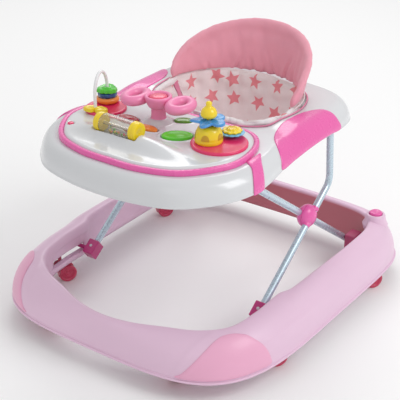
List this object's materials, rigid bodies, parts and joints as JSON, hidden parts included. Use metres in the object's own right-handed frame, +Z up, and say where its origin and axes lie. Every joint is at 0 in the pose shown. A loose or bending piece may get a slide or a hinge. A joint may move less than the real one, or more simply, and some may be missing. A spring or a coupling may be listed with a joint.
{
  "type": "baby walker",
  "caption": "Rolling walker for a baby: a fabric seat in a ring with a toy tray, carried by folding scissor legs on a wheeled base.",
  "frame": {"origin": "the middle of the footprint, on the floor", "axes": "+Z up, -Y towards the play tray, +Y towards the backrest, +X to the right of the child's left hand side when seen from above"},
  "size_m": [0.62, 0.702, 0.5226],
  "materials": {
    "base": "satin moulded pale pink",
    "bumper": "satin moulded rose",
    "magenta": "glossy moulded magenta",
    "caster": "glossy moulded crimson",
    "berry": "moulded dark berry",
    "white": "glossy moulded pearl white",
    "tube": "silver blue powder coat",
    "pin": "zinc plated",
    "deck": "glossy red",
    "yellow": "glossy yellow",
    "blue": "glossy blue",
    "navy": "glossy dark blue",
    "green": "glossy green",
    "olive": "glossy olive",
    "orange": "glossy orange",
    "red": "glossy red",
    "rose": "satin pink",
    "clear": "clear moulded plastic",
    "star_cloth": "printed woven polyester",
    "back_cloth": "padded woven polyester"
  },
  "bodies": {
    "base": {"base_shell": "base", "corner_bumper_left": "bumper", "corner_bumper_right": "bumper", "rear_foot_bracket_left": "berry", "rear_foot_bracket_right": "berry"},
    "leg_b": {"leg_b_tube": "tube", "hub_cover_inner_left": "magenta", "hub_cover_inner_right": "magenta", "hub_pin_left": "pin", "hub_pin_right": "pin"},
    "leg_a": {"leg_a_tube_left": "tube", "leg_a_tube_right": "tube", "foot_block_left": "berry", "foot_block_right": "berry", "hub_cover_outer_left": "magenta", "hub_cover_outer_right": "magenta"},
    "seat": {"seat_body": "white", "armrest_panel_left": "magenta", "armrest_panel_right": "magenta", "tray_clip_left": "magenta", "tray_clip_right": "magenta", "play_tray": "white", "tray_band": "magenta", "toy_deck_left": "deck", "toy_deck_right": "deck", "seat_fabric": "star_cloth", "backrest": "back_cloth", "bead_arch": "white", "bow_foot": "yellow", "steering_column": "rose", "windmill_tower": "yellow"},
    "steering": {"steering_wheel": "rose"},
    "horn": {"horn_button": "red"},
    "roller": {"roller_drum": "clear", "roller_cap_left": "yellow", "roller_cap_right": "yellow"},
    "red_key": {"key_red": "red"},
    "orange_key": {"key_orange": "orange"},
    "green_key": {"key_green": "green"},
    "olive_key": {"key_olive": "olive"},
    "power": {"power_button": "red"},
    "windmill": {"propeller": "blue"},
    "flower": {"sunflower": "yellow"},
    "ring_bead": {"bead_ring": "orange"},
    "disc_bead": {"bead_disc": "navy"},
    "leaf_bead": {"bead_leaf": "green"},
    "lock_left": {"lock_button_left": "magenta"},
    "lock_right": {"lock_button_right": "magenta"},
    "swivel_front_left": {"caster_fork_front_left": "caster"},
    "wheel_front_left": {"caster_wheel_front_left": "caster"},
    "swivel_front_right": {"caster_fork_front_right": "caster"},
    "wheel_front_right": {"caster_wheel_front_right": "caster"},
    "swivel_middle_left": {"caster_fork_middle_left": "caster"},
    "wheel_middle_left": {"caster_wheel_middle_left": "caster"},
    "swivel_middle_right": {"caster_fork_middle_right": "caster"},
    "wheel_middle_right": {"caster_wheel_middle_right": "caster"},
    "swivel_rear_left": {"caster_fork_rear_left": "caster"},
    "wheel_rear_left": {"caster_wheel_rear_left": "caster"},
    "swivel_rear_right": {"caster_fork_rear_right": "caster"},
    "wheel_rear_right": {"caster_wheel_rear_right": "caster"}
  },
  "joints": [
    {"name": "leg_b_fold", "type": "hinge", "parent": "base", "child": "leg_b", "pos_m": [0, 0.25129, 0.0721], "axis": [1, 0, 0], "range_deg": [0, 26]},
    {"name": "scissor_hub", "type": "hinge", "parent": "leg_b", "child": "leg_a", "pos_m": [0, 0.0725, 0.202], "axis": [1, 0, 0], "range_deg": [-52, 0]},
    {"name": "seat_pivot", "type": "hinge", "parent": "leg_a", "child": "seat", "pos_m": [0, 0.1325, 0.372], "axis": [1, 0, 0], "range_deg": [0, 26]},
    {"name": "swivel_front_left", "type": "hinge", "parent": "base", "child": "swivel_front_left", "pos_m": [-0.15, -0.3, 0.05], "axis": [0, 0, 1], "continuous": true},
    {"name": "roll_front_left", "type": "hinge", "parent": "swivel_front_left", "child": "wheel_front_left", "pos_m": [-0.15, -0.286, 0.019], "axis": [-1, 0, 0], "continuous": true},
    {"name": "swivel_front_right", "type": "hinge", "parent": "base", "child": "swivel_front_right", "pos_m": [0.15, -0.3, 0.05], "axis": [0, 0, 1], "continuous": true},
    {"name": "roll_front_right", "type": "hinge", "parent": "swivel_front_right", "child": "wheel_front_right", "pos_m": [0.15, -0.286, 0.019], "axis": [-1, 0, 0], "continuous": true},
    {"name": "swivel_middle_left", "type": "hinge", "parent": "base", "child": "swivel_middle_left", "pos_m": [-0.262, -0.15, 0.05], "axis": [0, 0, 1], "continuous": true},
    {"name": "roll_middle_left", "type": "hinge", "parent": "swivel_middle_left", "child": "wheel_middle_left", "pos_m": [-0.255, -0.13788, 0.019], "axis": [-0.866, 0.5, 0], "continuous": true},
    {"name": "swivel_middle_right", "type": "hinge", "parent": "base", "child": "swivel_middle_right", "pos_m": [0.262, -0.15, 0.05], "axis": [0, 0, 1], "continuous": true},
    {"name": "roll_middle_right", "type": "hinge", "parent": "swivel_middle_right", "child": "wheel_middle_right", "pos_m": [0.269, -0.13788, 0.019], "axis": [-0.866, 0.5, 0], "continuous": true},
    {"name": "swivel_rear_left", "type": "hinge", "parent": "base", "child": "swivel_rear_left", "pos_m": [-0.274, 0.205, 0.05], "axis": [0, 0, 1], "continuous": true},
    {"name": "roll_rear_left", "type": "hinge", "parent": "swivel_rear_left", "child": "wheel_rear_left", "pos_m": [-0.267, 0.21712, 0.019], "axis": [-0.866, 0.5, 0], "continuous": true},
    {"name": "swivel_rear_right", "type": "hinge", "parent": "base", "child": "swivel_rear_right", "pos_m": [0.274, 0.205, 0.05], "axis": [0, 0, 1], "continuous": true},
    {"name": "roll_rear_right", "type": "hinge", "parent": "swivel_rear_right", "child": "wheel_rear_right", "pos_m": [0.281, 0.21712, 0.019], "axis": [-0.866, 0.5, 0], "continuous": true},
    {"name": "lock_press_left", "type": "slide", "parent": "base", "child": "lock_left", "axis": [0, 0, -1], "range_m": [0, 0.004], "stiffness_N_per_m": 400, "springref_m": -0.002},
    {"name": "lock_press_right", "type": "slide", "parent": "base", "child": "lock_right", "axis": [0, 0, -1], "range_m": [0, 0.004], "stiffness_N_per_m": 400, "springref_m": -0.002},
    {"name": "steer", "type": "hinge", "parent": "seat", "child": "steering", "pos_m": [-0.0245, -0.107, 0.44], "axis": [0, 0, 1], "range_deg": [-60, 60]},
    {"name": "horn_press", "type": "slide", "parent": "steering", "child": "horn", "axis": [0, 0, -1], "range_m": [0, 0.002], "stiffness_N_per_m": 300, "springref_m": -0.002},
    {"name": "roller_spin", "type": "hinge", "parent": "seat", "child": "roller", "pos_m": [-0.033, -0.212, 0.4315], "axis": [1, 0, 0], "continuous": true},
    {"name": "red_press", "type": "slide", "parent": "seat", "child": "red_key", "axis": [0, 0, -1], "range_m": [0, 0.002], "stiffness_N_per_m": 300, "springref_m": -0.002},
    {"name": "orange_press", "type": "slide", "parent": "seat", "child": "orange_key", "axis": [0, 0, -1], "range_m": [0, 0.002], "stiffness_N_per_m": 300, "springref_m": -0.002},
    {"name": "green_press", "type": "slide", "parent": "seat", "child": "green_key", "axis": [0, 0, -1], "range_m": [0, 0.002], "stiffness_N_per_m": 300, "springref_m": -0.002},
    {"name": "olive_press", "type": "slide", "parent": "seat", "child": "olive_key", "axis": [0, 0, -1], "range_m": [0, 0.002], "stiffness_N_per_m": 300, "springref_m": -0.002},
    {"name": "power_press", "type": "slide", "parent": "seat", "child": "power", "axis": [0, 0, -1], "range_m": [0, 0.0015], "stiffness_N_per_m": 200, "springref_m": -0.002},
    {"name": "windmill_spin", "type": "hinge", "parent": "seat", "child": "windmill", "pos_m": [0.113, -0.139, 0.455], "axis": [0, 0, 1], "continuous": true},
    {"name": "flower_spin", "type": "hinge", "parent": "seat", "child": "flower", "pos_m": [0.133, -0.0945, 0.425], "axis": [0, 0, 1], "continuous": true},
    {"name": "ring_bead_spin", "type": "hinge", "parent": "seat", "child": "ring_bead", "pos_m": [-0.156, -0.098, 0.43], "axis": [0, 0, 1], "continuous": true},
    {"name": "disc_bead_spin", "type": "hinge", "parent": "seat", "child": "disc_bead", "pos_m": [-0.156, -0.098, 0.43], "axis": [0, 0, 1], "continuous": true},
    {"name": "leaf_bead_spin", "type": "hinge", "parent": "seat", "child": "leaf_bead", "pos_m": [-0.156, -0.098, 0.43], "axis": [0, 0, 1], "continuous": true}
  ],
  "couplings": [
    {"joint": "scissor_hub", "follows": "leg_b_fold", "ratio": -2},
    {"joint": "seat_pivot", "follows": "leg_b_fold", "ratio": 1}
  ]
}
